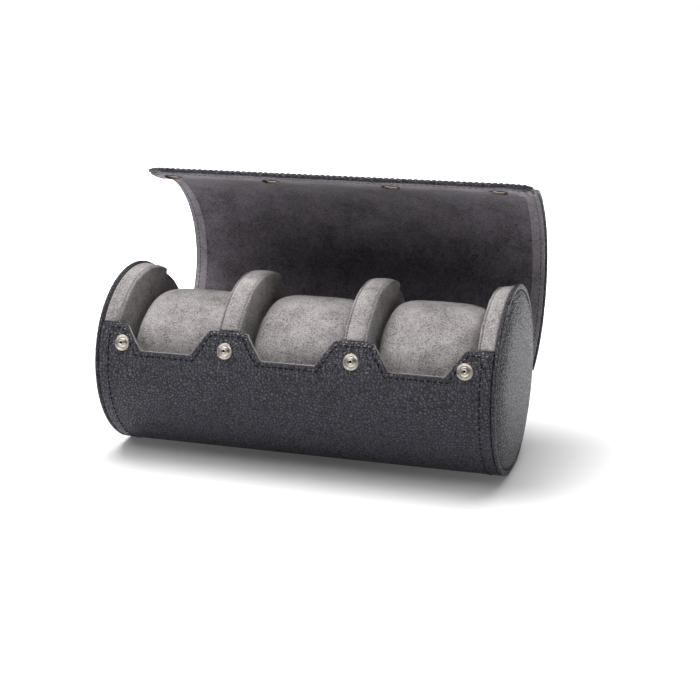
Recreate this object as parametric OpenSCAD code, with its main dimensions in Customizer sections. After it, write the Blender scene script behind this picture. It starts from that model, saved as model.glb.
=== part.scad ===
// Watch travel case: a leather tube with a hinged lid, four front tabs that each carry a
// press stud, two padded dividers, two end pads and three lift-out watch cushions.
// X runs along the tube, the front is -Y and Z is up.
// The origin is the centre of the flat that the case rests on.
// Angles around the tube are measured from the front horizontal, over the top.

/* [Tube] */
// Outer diameter of the tube
tube_d = 90; // [84:0.5:100]
// Length of the tube between its end caps
tube_len = 190.5; // [180:0.5:220]
// How far the bottom is flattened so that the case stands
flat_sag = 1.5; // [1.2:0.1:2]
// Leather thickness of the tube
leather_t = 1.2; // [0.8:0.1:1.6]
// Stiffening board thickness
board_t = 1.0; // [0.8:0.1:1.4]
// Velour lining thickness
lining_t = 0.8; // [0.6:0.1:1]
// Angle of the back edge of the tube
tube_back_angle = 186; // [183:0.5:187]

/* [End caps] */
// Leather thickness over the face of an end cap
cap_face_t = 1.0; // [0.8:0.1:1.4]
// Board thickness inside an end cap
cap_board_t = 1.2; // [0.8:0.1:2]
// Shadow gap between the tube and the rim of an end cap
cap_gap = 0.2; // [0.1:0.05:0.4]

/* [Front tabs] */
// Angle of the top edge of the tabs
tab_top_angle = 30.2; // [29:0.2:34]
// Angle of the low edge between the tabs
tab_base_angle = 13.9; // [11:0.1:15]
// Distance of the inner tabs from the middle of the case
inner_tab_x = 30.7; // [29:0.1:33]
// Width of an inner tab along its top edge
inner_tab_w = 17.6; // [15:0.1:20]
// Width of an end tab along its top edge
end_tab_w = 12.4; // [11.5:0.1:14]
// Run of the sloping side of a tab
tab_slope = 8.3; // [6:0.1:10]

/* [Lid] */
// Air between the tube and the closed lid
lid_gap = 0.9; // [0.8:0.05:1.2]
// Angle of the front edge of the closed lid
lid_front_angle = 3; // [2:0.1:8]
// Length of the cut-off corner along the front edge
lid_corner_x = 10; // [6:0.5:14]
// Height of the cut-off corner up the lid
lid_corner_h = 10; // [6:0.5:12]
// Width of the leather that is turned over the lid's edges
turned_edge = 1.6; // [1:0.1:2.2]
// How far the lid stands open
lid_open = 60; // [0:1:100]

/* [Lid hinges] */
// Angle of the main hinge at the back of the tube
hinge_angle = 189; // [188.5:0.1:190]
// Radius of the leather bead in the main hinge
bead_r = 1.5; // [1.2:0.1:1.8]
// Running clearance around both beads
bead_clear = 0.3; // [0.25:0.05:0.4]
// Angle of the crease where the front flap of the lid bends
crease_angle = 27; // [27:1:36]
// Radius of the bead in the flap crease
crease_r = 1.2; // [1:0.1:1.4]
// How far the flap stands outward at rest
flap_rest = 31; // [0:1:34]

/* [Press studs] */
// Angle of the press studs on the tabs
stud_angle = 18.4; // [18:0.2:20]
// Distance of the outer press studs from the ends of the tube
end_stud_in = 12.05; // [10:0.05:14]
// Diameter of the stud's flange
stud_d = 7.6; // [7:0.1:8.4]
// Height of the flange above the leather
stud_flange_h = 0.35; // [0.2:0.05:0.4]
// Diameter of the nub
nub_d = 3.8; // [3.4:0.1:4]
// Height of the nub above the flange
nub_h = 1.5; // [1.2:0.1:1.6]
// Diameter of the rivet post behind the stud
post_d = 2.4; // [2:0.1:2.6]
// Diameter of the rivet's head in the board
rivet_d = 6.8; // [6:0.1:7.4]
// Diameter of a socket in the lid
socket_d = 8.2; // [8:0.1:9]
// Clearance of the nub in the socket's spring
socket_clear = 0.6; // [0.55:0.05:0.7]
// Diameter of the plate that holds a socket, under the lid's leather
snap_cap_d = 9; // [8.4:0.2:9.6]
// Thickness of the plate that holds a socket
snap_cap_h = 0.4; // [0.3:0.1:0.5]

/* [Dividers] */
// Thickness of a divider
divider_w = 10; // [8:0.5:12]
// Thickness of an end pad
pad_w = 9.2; // [8:0.1:11]
// How far dividers and pads swell past the lining above the tube's edge
divider_swell = 1.4; // [0.6:0.1:1.8]
// Thickness of the velour cover
cover_t = 1.0; // [0.6:0.1:1.4]
// Angle of the tuck where the ends of the band meet
tuck_angle = 118; // [110:1:125]
// Depth of the tuck
tuck_depth = 7.5; // [5:0.5:10]
// Width of the tuck
tuck_w = 1.6; // [1:0.1:2.4]

/* [Cushions] */
// Radius of a cushion at its middle
cushion_r = 37.5; // [35:0.5:38]
// Radius of a cushion at the seam of its sides
cushion_end_r = 31; // [28:0.5:34]
// Clearance between a cushion and its neighbours
cushion_clear = 0.4; // [0.3:0.05:0.6]
// Thickness of the cushion's velour
cushion_t = 1.2; // [0.8:0.1:1.6]

/* [Hidden] */

$fn = 96;
eps = 0.01;

// Radii of the tube's layers
tube_r = tube_d / 2;
board_r = tube_r - leather_t;
lining_r = board_r - board_t;
bore_r = lining_r - lining_t;
axis_z = tube_r - flat_sag;

// Radii of the lid's layers
lid_in_r = tube_r + lid_gap;
lid_board_r = lid_in_r + lining_t;
lid_leather_r = lid_board_r + board_t;
lid_out_r = lid_leather_r + leather_t;

// Ends of the case
cap_t = cap_face_t + cap_board_t;
tube_half = tube_len / 2;
lid_half = tube_half + cap_t;

// Main hinge and flap crease, as radius and position
hinge_r = tube_r + bead_r;
hinge_pos = round_pos(hinge_r, hinge_angle);
crease_pos_r = lid_board_r + board_t / 2;
crease_pos = round_pos(crease_pos_r, crease_angle);
bead_reach = asin((bead_r + bead_clear) / hinge_r);
crease_reach = asin((crease_r + bead_clear) / crease_pos_r);
crease_seat = asin(crease_r / crease_pos_r);

// Press studs
outer_stud_x = tube_half - end_stud_in;
stud_xs = [-outer_stud_x, -inner_tab_x, inner_tab_x, outer_stud_x];
flange_z = tube_r + stud_flange_h;
flange_seat = sqrt(pow(tube_r, 2) - pow(stud_d / 2, 2)) - 0.1;
nub_top = flange_z + nub_h;
socket_floor = nub_top + 0.4;
socket_top = socket_floor + 0.5;
spring_r = nub_d / 2 + socket_clear;

// Dividers, pads and cushions
divider_face = inner_tab_x - divider_w / 2;
bay_side_w = tube_half - pad_w - inner_tab_x - divider_w / 2;
cushion_w = min(bay_side_w, 2 * divider_face) - 2 * cushion_clear;
cushion_x = inner_tab_x + divider_w / 2 + bay_side_w / 2;
cushion_drop = bore_r - flat_sag - cushion_r - 0.3;
crown_steps = 20;

// ---------------------------------------------------------------- helpers

// Point on the tube at a radius and an angle, as [y, z] from the tube's axis
function round_pos(r, a) = [-r * cos(a), r * sin(a)];

// Radius of the cushion at a distance from its middle plane
function cushion_rad(x, inset) = cushion_end_r - inset
    + (cushion_r - cushion_end_r) * pow(1 - pow(abs(x) / (cushion_w / 2), 4), 0.5);

// Carries a shape drawn in Y and Z along X, centred
module along_x(len) {
    rotate([90, 0, 90]) linear_extrude(height = len, center = true) children();
}

// Turns +Z of a shape to point out of the tube at an angle
module at_angle(x, a) {
    translate([x, 0, 0]) rotate([90 - a, 0, 0]) children();
}

// A wedge of the section between two angles
module sector(a0, a1, r) {
    n = ceil((a1 - a0) / 30);
    far = r / cos((a1 - a0) / n / 2) + 1;
    polygon(concat([[0, 0]], [for (i = [0:n]) round_pos(far, a0 + (a1 - a0) * i / n)]));
}

// A disc whose bottom is flattened by the sag
module flat_disc(r) {
    intersection() {
        circle(r = r);
        translate([-r - 1, -r + flat_sag]) square([2 * r + 2, 2 * r]);
    }
}

// One layer of the tube, as a section
module flat_ring(r_out, r_in) {
    difference() {
        flat_disc(r_out);
        flat_disc(r_in);
    }
}

// A notch between two tabs, laid on the front of the tube; it runs on past the tabs' tops
module tab_notch(x0, x1) {
    mid = (tab_top_angle + tab_base_angle) / 2;
    low = -tube_r * sin(mid - tab_base_angle);
    over = 1.5;
    top = low + over * 2 * tube_r * sin(tab_top_angle - mid);
    at_angle(0, mid) translate([0, 0, bore_r - 8]) linear_extrude(height = 20)
        polygon([[x0 + tab_slope, low], [x1 - tab_slope, low],
            [x1 + (over - 1) * tab_slope, top], [x0 - (over - 1) * tab_slope, top]]);
}

module tab_notches() {
    inner = inner_tab_x - inner_tab_w / 2;
    outer = inner_tab_x + inner_tab_w / 2;
    edge = tube_half - end_tab_w;
    tab_notch(-edge, -outer);
    tab_notch(-inner, inner);
    tab_notch(outer, edge);
}

// One layer of the tube with its opening and its tabs
module tube_layer(r_out, r_in) {
    difference() {
        along_x(tube_len) difference() {
            flat_ring(r_out, r_in);
            sector(tab_top_angle, tube_back_angle, r_out);
        }
        tab_notches();
    }
}

module on_floor() {
    translate([0, 0, axis_z]) children();
}

// Turns the closed lid about the main hinge to where it stands
module open_lid() {
    translate([0, hinge_pos[0], axis_z + hinge_pos[1]]) rotate([-lid_open, 0, 0])
        translate([0, -hinge_pos[0], -hinge_pos[1]]) children();
}

// Turns the closed flap about the crease, then with the lid
module bent_flap() {
    open_lid() translate([0, crease_pos[0], crease_pos[1]]) rotate([-flap_rest, 0, 0])
        translate([0, -crease_pos[0], -crease_pos[1]]) children();
}

// A layer of the lid between two angles, short of each end by an inset
module lid_layer(r_out, r_in, a0, a1, inset = 0) {
    along_x(2 * (lid_half - inset)) intersection() {
        difference() {
            circle(r = r_out);
            circle(r = r_in);
        }
        sector(a0, a1, r_out);
    }
}

// The cut-off corners at the ends of the lid's front edge, moved inward by an inset
module lid_corners(inset = 0) {
    slant = norm([lid_corner_x, lid_corner_h]);
    x_in = lid_half - lid_corner_x - inset * lid_corner_h / slant;
    y_in = inset * lid_corner_x / slant;
    on = 0.8;
    for (s = [-1, 1])
        at_angle(0, lid_front_angle) translate([0, 0, lid_in_r - 4]) linear_extrude(height = 10)
            polygon([[s * (x_in - on * lid_corner_x), y_in - on * lid_corner_h],
                [s * (x_in + (1 + on) * lid_corner_x), y_in - on * lid_corner_h],
                [s * (x_in + (1 + on) * lid_corner_x), y_in + (1 + on) * lid_corner_h]]);
}

lid_back_angle = hinge_angle - bead_reach;
flap_top_angle = crease_angle - crease_reach;
lid_low_angle = crease_angle + crease_seat;
turned_angle = turned_edge / lid_in_r * 180 / PI;

// ---------------------------------------------------------------- tube

module shell_leather() {
    color([0.17, 0.18, 0.20]) on_floor() difference() {
        tube_layer(tube_r, board_r);
        for (x = stud_xs) at_angle(x, stud_angle) {
            translate([0, 0, flange_seat]) cylinder(d = stud_d, h = 5);
            translate([0, 0, bore_r - 2]) cylinder(d = post_d, h = 10);
        }
    }
}

module shell_board() {
    color([0.45, 0.36, 0.26]) on_floor() difference() {
        tube_layer(board_r, lining_r);
        for (x = stud_xs) at_angle(x, stud_angle) translate([0, 0, bore_r - 2]) {
            cylinder(d = rivet_d, h = lining_r + board_t / 2 - bore_r + 2);
            cylinder(d = post_d, h = 10);
        }
    }
}

module shell_lining() {
    color([0.58, 0.56, 0.56]) on_floor() tube_layer(lining_r, bore_r);
}

// The leather of an end cap is a shallow cup over its board
module end_leather(s) {
    color([0.17, 0.18, 0.20]) on_floor() translate([s * tube_half, 0, 0]) difference() {
        translate([s * (cap_t + cap_gap) / 2, 0, 0]) along_x(cap_t - cap_gap) flat_disc(tube_r);
        translate([s * cap_board_t / 2, 0, 0]) along_x(cap_board_t) flat_disc(board_r);
    }
}

module end_board(s) {
    color([0.45, 0.36, 0.26]) on_floor() translate([s * (tube_half + cap_board_t / 2), 0, 0])
        along_x(cap_board_t) flat_disc(board_r);
}

module end_left_leather() { end_leather(-1); }
module end_left_board() { end_board(-1); }
module end_right_leather() { end_leather(1); }
module end_right_board() { end_board(1); }

module hinge_bead() {
    color([0.12, 0.13, 0.14]) on_floor() translate([0, hinge_pos[0], hinge_pos[1]])
        rotate([0, 90, 0]) cylinder(r = bead_r, h = tube_len, center = true, $fn = 48);
}

// ---------------------------------------------------------------- press studs

// A stud is a shallow dish with a waisted nub that the rivet's post enters
module stud() {
    r = nub_d / 2;
    difference() {
        rotate_extrude($fn = 64) polygon([[0, flange_seat], [stud_d / 2, flange_seat],
            [stud_d / 2, flange_z], [stud_d / 2 - 0.9, flange_z],
            [stud_d / 2 - 1.3, flange_z - 0.25], [r - 0.2, flange_z - 0.25],
            [r - 0.2, flange_z + nub_h * 0.3], [r, flange_z + nub_h * 0.6],
            [r, nub_top - 0.4], [r - 0.4, nub_top], [0, nub_top]]);
        translate([0, 0, flange_seat - 1]) cylinder(d = post_d, h = 2, $fn = 48);
        translate([0, 0, flange_seat]) cylinder(d = 1.2, h = nub_h + 3, $fn = 32);
    }
}

module snap_studs() {
    color([0.80, 0.78, 0.74]) on_floor() for (x = stud_xs) at_angle(x, stud_angle) stud();
}

module stud_rivets() {
    head_z = lining_r;
    color([0.70, 0.68, 0.64]) on_floor() for (x = stud_xs) at_angle(x, stud_angle) {
        translate([0, 0, head_z]) cylinder(d = rivet_d, h = board_t / 2, $fn = 48);
        translate([0, 0, head_z]) cylinder(d = post_d, h = flange_seat + 1 - head_z, $fn = 48);
    }
}

// A socket is a cup that holds a ring spring; its mouth is level with the lining
module socket() {
    difference() {
        translate([0, 0, lid_in_r]) cylinder(d = socket_d, h = socket_top - lid_in_r, $fn = 64);
        translate([0, 0, lid_in_r - 1]) cylinder(r = spring_r, h = socket_floor - lid_in_r + 1, $fn = 64);
        translate([0, 0, lid_in_r + 0.4]) cylinder(r = spring_r + 0.4, h = 0.5, $fn = 64);
        translate([0, 0, lid_in_r]) cylinder(d = post_d, h = 5, $fn = 48);
    }
}

module snap_sockets() {
    color([0.62, 0.60, 0.56]) bent_flap() for (x = stud_xs) at_angle(x, stud_angle) socket();
}

module snap_springs() {
    color([0.72, 0.70, 0.62]) bent_flap() for (x = stud_xs) at_angle(x, stud_angle)
        translate([0, 0, lid_in_r + 0.4]) difference() {
            cylinder(r = spring_r + 0.4, h = 0.5, $fn = 64);
            translate([0, 0, -1]) cylinder(r = spring_r, h = 3, $fn = 64);
        }
}

// The plate between the lid's board and leather, with the post that holds the socket
module snap_caps() {
    color([0.16, 0.17, 0.19]) bent_flap() for (x = stud_xs) at_angle(x, stud_angle) {
        translate([0, 0, socket_top]) cylinder(d = snap_cap_d, h = snap_cap_h, $fn = 64);
        translate([0, 0, socket_floor]) cylinder(d = post_d, h = socket_top - socket_floor + 0.1, $fn = 48);
    }
}

// Room for the sockets, or for the plates behind them, in a layer of the flap
module snap_room(d, top) {
    for (x = stud_xs) at_angle(x, stud_angle)
        translate([0, 0, lid_in_r - 2]) cylinder(d = d, h = top - lid_in_r + 2, $fn = 64);
}

// ---------------------------------------------------------------- lid

// The lid's leather turns over the board and the lining at both ends
module lid_leather() {
    color([0.17, 0.18, 0.20]) open_lid() {
        lid_layer(lid_out_r, lid_leather_r, lid_low_angle, lid_back_angle);
        for (s = [-1, 1]) translate([s * (lid_half - turned_edge / 2), 0, 0])
            along_x(turned_edge) intersection() {
                difference() {
                    circle(r = lid_leather_r + eps);
                    circle(r = lid_in_r);
                }
                sector(lid_low_angle, lid_back_angle, lid_out_r);
            }
    }
}

module lid_board() {
    color([0.45, 0.36, 0.26]) open_lid()
        lid_layer(lid_leather_r, lid_board_r, lid_low_angle, lid_back_angle, turned_edge);
}

module lid_lining() {
    color([0.42, 0.40, 0.42]) open_lid()
        lid_layer(lid_board_r, lid_in_r, lid_low_angle, lid_back_angle, turned_edge);
}

// The bead that lets the front flap bend outward when the studs are undone
module crease_bead() {
    color([0.42, 0.40, 0.42]) open_lid() translate([0, crease_pos[0], crease_pos[1]])
        rotate([0, 90, 0]) cylinder(r = crease_r, h = 2 * lid_half, center = true, $fn = 48);
}

module flap_leather() {
    color([0.17, 0.18, 0.20]) bent_flap() difference() {
        lid_layer(lid_out_r, lid_in_r, lid_front_angle, flap_top_angle);
        difference() {
            lid_layer(lid_leather_r, lid_in_r - 1, lid_front_angle + turned_angle,
                flap_top_angle + 5, turned_edge);
            lid_corners(turned_edge);
        }
        lid_corners();
        snap_room(snap_cap_d, socket_top + snap_cap_h);
    }
}

module flap_inner(r_out, r_in) {
    difference() {
        lid_layer(r_out, r_in, lid_front_angle + turned_angle, flap_top_angle, turned_edge);
        lid_corners(turned_edge);
        snap_room(socket_d, lid_out_r);
    }
}

module flap_board() {
    color([0.45, 0.36, 0.26]) bent_flap() flap_inner(lid_leather_r, lid_board_r);
}

module flap_lining() {
    color([0.42, 0.40, 0.42]) bent_flap() flap_inner(lid_board_r, lid_in_r);
}

// ---------------------------------------------------------------- dividers and pads

// Outline of a divider: it fills the bore and swells above the tube's edges
module divider_outline(inset) {
    difference() {
        union() {
            flat_disc(bore_r - inset);
            intersection() {
                circle(r = bore_r + divider_swell - inset);
                sector(tab_top_angle + 1.3, tube_back_angle - 2, bore_r + 5);
            }
        }
        rotate([0, 0, 90 - tuck_angle]) translate([-tuck_w / 2, bore_r + divider_swell - tuck_depth])
            square([tuck_w, tuck_depth + 2]);
    }
}

module padded_core(x, w, faces) {
    color([0.50, 0.46, 0.40]) on_floor() translate([x, 0, 0])
        along_x(w - faces * cover_t) divider_outline(cover_t);
}

module padded_band(x, w) {
    color([0.62, 0.60, 0.60]) on_floor() translate([x, 0, 0]) along_x(w) difference() {
        divider_outline(0);
        divider_outline(cover_t);
    }
}

module padded_face(x) {
    color([0.58, 0.56, 0.56]) on_floor() translate([x, 0, 0])
        along_x(cover_t) divider_outline(cover_t);
}

module end_pad_core(s) { padded_core(s * (tube_half - (pad_w - cover_t) / 2), pad_w, 1); }
module end_pad_band(s) { padded_band(s * (tube_half - pad_w / 2), pad_w); }
module end_pad_face(s) { padded_face(s * (tube_half - pad_w + cover_t / 2)); }

module divider_core(s) { padded_core(s * inner_tab_x, divider_w, 2); }
module divider_band(s) { padded_band(s * inner_tab_x, divider_w); }
module divider_faces(s) {
    for (side = [-1, 1]) padded_face(s * inner_tab_x + side * (divider_w - cover_t) / 2);
}

module pad_left_core() { end_pad_core(-1); }
module pad_left_band() { end_pad_band(-1); }
module pad_left_face() { end_pad_face(-1); }
module pad_right_core() { end_pad_core(1); }
module pad_right_band() { end_pad_band(1); }
module pad_right_face() { end_pad_face(1); }
module divider_left_core() { divider_core(-1); }
module divider_left_band() { divider_band(-1); }
module divider_left_faces() { divider_faces(-1); }
module divider_right_core() { divider_core(1); }
module divider_right_band() { divider_band(1); }
module divider_right_faces() { divider_faces(1); }

// ---------------------------------------------------------------- cushions

// Places a shape drawn around Z so that it lies along X in its bay
module in_bay(x) {
    translate([x, 0, axis_z - cushion_drop]) rotate([0, 90, 0]) children();
}

cushion_xs = [for (i = [-crown_steps:crown_steps])
    (cushion_w / 2 - cushion_t) * sin(90 * i / crown_steps)];

module cushion_core(x) {
    color([0.80, 0.76, 0.66]) in_bay(x) rotate_extrude($fn = 72) polygon(concat(
        [[0, cushion_xs[0]]], [for (c = cushion_xs) [cushion_rad(c, cushion_t), c]],
        [[0, cushion_xs[2 * crown_steps]]]));
}

module cushion_sleeve(x) {
    color([0.62, 0.60, 0.60]) in_bay(x) rotate_extrude($fn = 72) polygon(concat(
        [for (c = cushion_xs) [cushion_rad(c, 0), c]],
        [for (i = [2 * crown_steps:-1:0]) [cushion_rad(cushion_xs[i], cushion_t), cushion_xs[i]]]));
}

module cushion_sides(x) {
    color([0.56, 0.54, 0.54]) in_bay(x) for (s = [-1, 1])
        translate([0, 0, s * (cushion_w - cushion_t) / 2])
            cylinder(r = cushion_end_r, h = cushion_t, center = true, $fn = 72);
}

module cushion_left_core() { cushion_core(-cushion_x); }
module cushion_left_sleeve() { cushion_sleeve(-cushion_x); }
module cushion_left_sides() { cushion_sides(-cushion_x); }
module cushion_middle_core() { cushion_core(0); }
module cushion_middle_sleeve() { cushion_sleeve(0); }
module cushion_middle_sides() { cushion_sides(0); }
module cushion_right_core() { cushion_core(cushion_x); }
module cushion_right_sleeve() { cushion_sleeve(cushion_x); }
module cushion_right_sides() { cushion_sides(cushion_x); }

shell_leather();
shell_board();
shell_lining();
end_left_leather();
end_left_board();
end_right_leather();
end_right_board();
hinge_bead();
snap_studs();
stud_rivets();
pad_left_core();
pad_left_band();
pad_left_face();
pad_right_core();
pad_right_band();
pad_right_face();
divider_left_core();
divider_left_band();
divider_left_faces();
divider_right_core();
divider_right_band();
divider_right_faces();
cushion_left_core();
cushion_left_sleeve();
cushion_left_sides();
cushion_middle_core();
cushion_middle_sleeve();
cushion_middle_sides();
cushion_right_core();
cushion_right_sleeve();
cushion_right_sides();
lid_leather();
lid_board();
lid_lining();
crease_bead();
flap_leather();
flap_board();
flap_lining();
snap_sockets();
snap_springs();
snap_caps();
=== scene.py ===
import math

import bmesh
import bpy
import numpy as np
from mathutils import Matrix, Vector


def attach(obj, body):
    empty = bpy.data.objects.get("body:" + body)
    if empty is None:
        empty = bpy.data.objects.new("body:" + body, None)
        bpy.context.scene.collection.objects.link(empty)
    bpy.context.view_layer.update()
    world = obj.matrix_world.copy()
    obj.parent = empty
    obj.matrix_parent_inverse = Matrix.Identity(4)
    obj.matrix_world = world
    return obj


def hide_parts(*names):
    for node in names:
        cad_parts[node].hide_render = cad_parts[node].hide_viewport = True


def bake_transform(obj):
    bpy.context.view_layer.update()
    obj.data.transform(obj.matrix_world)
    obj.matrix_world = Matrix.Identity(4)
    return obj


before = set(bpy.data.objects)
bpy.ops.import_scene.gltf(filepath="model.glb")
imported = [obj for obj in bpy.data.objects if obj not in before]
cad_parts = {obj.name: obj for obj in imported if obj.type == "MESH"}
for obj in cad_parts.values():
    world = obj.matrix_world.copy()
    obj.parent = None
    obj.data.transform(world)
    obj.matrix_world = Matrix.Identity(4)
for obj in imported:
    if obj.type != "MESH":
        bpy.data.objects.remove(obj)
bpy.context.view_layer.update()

# ---------------------------------------------------------------- sizes, in metres and radians

MM = 0.001
DEG = math.pi / 180

TUBE_R = 45 * MM
SAG = 1.5 * MM                       # flattening under the tube
AXIS_Z = TUBE_R - SAG
TUBE_HALF = 95.25 * MM
BORE_R = 42 * MM
WALL = 2.2 * MM                      # leather turned over its board
LINING_T = 0.8 * MM
OVERLAP = 0.2 * MM                   # how far the hide reaches past the outline of its board
LINING_OVERLAP = 0.5 * MM            # and the lining, whose cut edge shows behind the hide's
ROW_STEP = 2 * MM                    # a panel is scored this often before it is rolled
SCORE_COLUMNS = [x * MM for x in range(-90, 95, 6)]
TAB_SEAM = 2.1 * MM                  # from the tabs' outline to their seam
END_SEAM = 5 * MM                    # from the tube's end to the seam beside it

TAB_TOP = (30.2 + 90) * DEG * TUBE_R     # along the leather, from the middle of the bottom
TAB_BASE = (13.9 + 90) * DEG * TUBE_R
BACK_EDGE = (186 + 90 - 360) * DEG * TUBE_R
TAB_SLOPE = 8.3 * MM
TAB_ROUND = 1.0 * MM                 # rounding of the tabs' corners
HIDE_ROUND = 0.55 * MM               # rounding of the cut edges of the tube's wrap
LINING_ROUND = 0.3 * MM
INNER_TAB_X = 30.7 * MM
INNER_TAB_W = 17.6 * MM
END_TAB_W = 12.4 * MM
NOTCHES = [(-TUBE_HALF + END_TAB_W, -INNER_TAB_X - INNER_TAB_W / 2),
           (-INNER_TAB_X + INNER_TAB_W / 2, INNER_TAB_X - INNER_TAB_W / 2),
           (INNER_TAB_X + INNER_TAB_W / 2, TUBE_HALF - END_TAB_W)]

CAP_T = 2.2 * MM                     # an end cap without its pillow
CAP_GAP = 0.2 * MM                   # between the tube and its caps
CAP_SEAM_R = 42 * MM
LEFT_SETTLE = 0.8 * MM               # how much lower the top of the left end stands

LID_HALF = 97.45 * MM
LID_R = 48.9 * MM                    # outer face of the closed lid
LID_FRONT = 3 * DEG * LID_R
LID_BACK = 186.8 * DEG * LID_R
LID_CORNER_X = 10 * MM
LID_CORNER_V = 10 * MM
LID_HIDE_T = 2.3 * MM
LID_LINING_IN = 2.2 * MM             # from the hide's outer face to the lining's
LID_LINING_EDGE = 1.1 * MM           # how far the lining stays inside the hide's outline
LID_ROUND = 0.8 * MM                 # rounding of its cut edges
LID_CORNER_ROUND = 0.9 * MM
LID_SEAM = 3 * MM
LID_SEAM_TURN = 8 * MM               # from the front edge, where the seam turns the corner
LID_THINS = 0.18                     # the share by which the lid is thinner at its edge
LID_THINS_OVER = 7 * MM
HEM = 7.3 * MM                       # border at the lid's ends, twice that in front, whose paler velour is painted light
HEM_SCORES = (6.9, 7.4, 7.8, 8.4)    # mm in from the edge, where the lining steps down
HEM_FROM, HEM_STEP = 7.2 * MM, 1.0 * MM        # where that step starts, and how wide it is
HEM_RISE = 0.30 * MM
LINING_BELOW = -2.6 * MM             # what lies deeper than this is the lining's inner face
LID_OPEN = 60 * DEG
FLAP_REST = 31 * DEG
BEND_FROM, BEND_TO = 35 * DEG, 18.5 * DEG      # where the soft bend of the flap starts and ends
SETTLE = 0.2 * DEG                   # how far the open arch of the lid has flattened
FLARE = 1.5 * DEG                    # how much more the leather curls out at its front edge
LEAN = 2.0 * MM                      # the front edge hangs a little to the right
TWIST = 0.0025                       # and its right end hangs lower than its left
HINGE = (45.928 * MM, 36.226 * MM - AXIS_Z)
HINGE_END_GAP = 0.3 * MM             # from the tube's ends to the hinge's strips
CREASE_R = 47.2 * MM

STUD_ANGLE = 18.4 * DEG
STUD_XS = [-83.2 * MM, -INNER_TAB_X, INNER_TAB_X, 83.2 * MM]
SOCKET_HOLE_R = 4.25 * MM
SOCKET_HOLE_DEPTH = 5.6 * MM
SOCKET_HOLE_AT = 44.85 * MM          # the middle of the hole, out along the stud's axis

DIVIDER_W = 11.2 * MM
PAD_W = 8.2 * MM
PAD_R = 43.4 * MM                    # above the tabs, where the padding swells
PAD_FRONT = 30.6                     # degrees round from the front, where the swell starts
TUCK = 115 * DEG                     # where the band of a divider is tucked
SEAM_IN = 1.15                       # mm from a padded edge to the sewn groove in its band
CUSHION_W = 47.2 * MM
CUSHION_R = 37.5 * MM
CUSHION_END_R = 31 * MM
CUSHION_X = 60.875 * MM
CUSHION_Z = 40.8 * MM
CUSHION_TURN = 2.1                   # radians of turn for each mm along the tube, so all differ


# ---------------------------------------------------------------- how pieces are made

def lay_down(name, operator, **how):
    """A new primitive, named, with nothing else selected."""
    bpy.ops.object.select_all(action="DESELECT")
    operator(**how)
    piece = bpy.context.active_object
    piece.name = piece.data.name = name
    return piece


def take(piece):
    """Makes a piece the only one selected, and the active one."""
    bpy.ops.object.select_all(action="DESELECT")
    piece.select_set(True)
    bpy.context.view_layer.objects.active = piece


def settle(piece):
    """Puts a piece's place into its mesh, so that the object sits at the origin."""
    take(piece)
    bpy.ops.object.transform_apply(location=True, rotation=True, scale=True)
    return piece


class Bench:
    """Edit mode on one piece, with nothing selected to start with."""

    def __init__(self, piece, kind="VERT"):
        self.piece, self.kind = piece, kind

    def __enter__(self):
        take(self.piece)
        bpy.ops.object.mode_set(mode="EDIT")
        bpy.ops.mesh.select_mode(type=self.kind)
        bpy.ops.mesh.select_all(action="DESELECT")
        return self

    def __exit__(self, *_):
        bpy.ops.object.mode_set(mode="OBJECT")

    def pick(self, test):
        """Selects the points, edges or faces whose middle passes the test."""
        mesh = bmesh.from_edit_mesh(self.piece.data)
        if self.kind == "VERT":
            for v in mesh.verts:
                v.select_set(bool(test(v.co)))
        elif self.kind == "EDGE":
            for e in mesh.edges:
                e.select_set(bool(test((e.verts[0].co + e.verts[1].co) / 2)))
        else:
            for f in mesh.faces:
                f.select_set(bool(test(f.calc_center_median())))
        mesh.select_flush_mode()
        bmesh.update_edit_mesh(self.piece.data)

    def score(self, point, normal, **how):
        """Cuts an edge line right across the piece."""
        bpy.ops.mesh.select_all(action="SELECT")
        bpy.ops.mesh.bisect(plane_co=point, plane_no=normal, **how)


def apply_modifier(piece, kind, **settings):
    """Adds one modifier and applies it at once."""
    take(piece)
    modifier = piece.modifiers.new(kind.title(), kind)
    for name, value in settings.items():
        setattr(modifier, name, value)
    bpy.ops.object.modifier_apply(modifier=modifier.name)


def points_of(piece):
    """The piece's points, one row of X, Y and Z for each."""
    co = np.empty(len(piece.data.vertices) * 3, np.float32)
    piece.data.vertices.foreach_get("co", co)
    return co.reshape(-1, 3).astype(float)


def move_points(piece, co):
    """Puts the piece's points where the rows say."""
    piece.data.vertices.foreach_set("co", np.asarray(co, np.float32).ravel())
    piece.data.update()


def smooth_shade(piece, angle=40):
    """Shades a piece round, but for edges sharper than the angle in degrees."""
    take(piece)
    bpy.ops.object.shade_smooth_by_angle(angle=angle * DEG)


def ease(t):
    """0 up to 0, 1 from 1 on, and smooth between."""
    t = np.clip(t, 0, 1)
    return t * t * (3 - 2 * t)


def cut_panel(name, x0, x1, v0, v1):
    """A flat piece of hide or cloth: X is across it, Y is along its arc and Z is out of it."""
    panel = lay_down(name, bpy.ops.mesh.primitive_plane_add, size=1,
                     location=((x0 + x1) / 2, (v0 + v1) / 2, 0))
    panel.scale = (x1 - x0, v1 - v0, 1)
    return settle(panel)


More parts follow.
